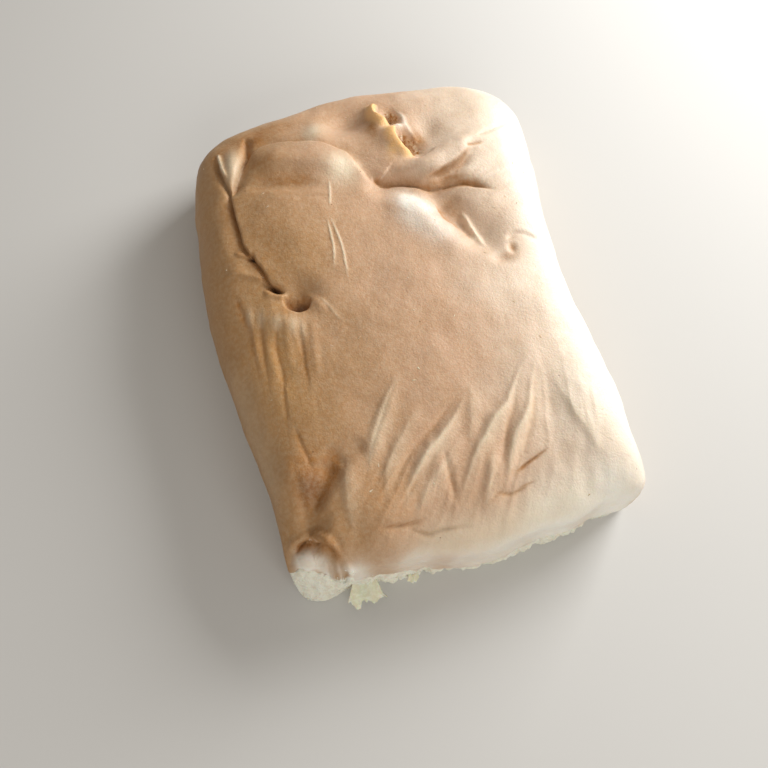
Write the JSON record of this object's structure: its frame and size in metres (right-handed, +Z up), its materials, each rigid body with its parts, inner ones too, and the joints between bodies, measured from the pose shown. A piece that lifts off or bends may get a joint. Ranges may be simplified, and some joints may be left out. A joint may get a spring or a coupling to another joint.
{
  "type": "coco bread",
  "caption": "Soft puffed rectangular flat bread, whole, with a creased pale tan skin, a pinched flap and a torn crumb edge along one short side.",
  "frame": {"origin": "middle of the box round the bread, on the plane it rests on", "axes": "+Z up through the crown, +Y along the long side towards the end with the folds and the burst blister, +X to the right"},
  "size_m": [0.112, 0.1602, 0.0359],
  "materials": {
    "baked_skin": "dry soft baked crust, pale tan on top and cream at the sides"
  },
  "bodies": {
    "root": {"coco_bread": "baked_skin"}
  },
  "joints": []
}
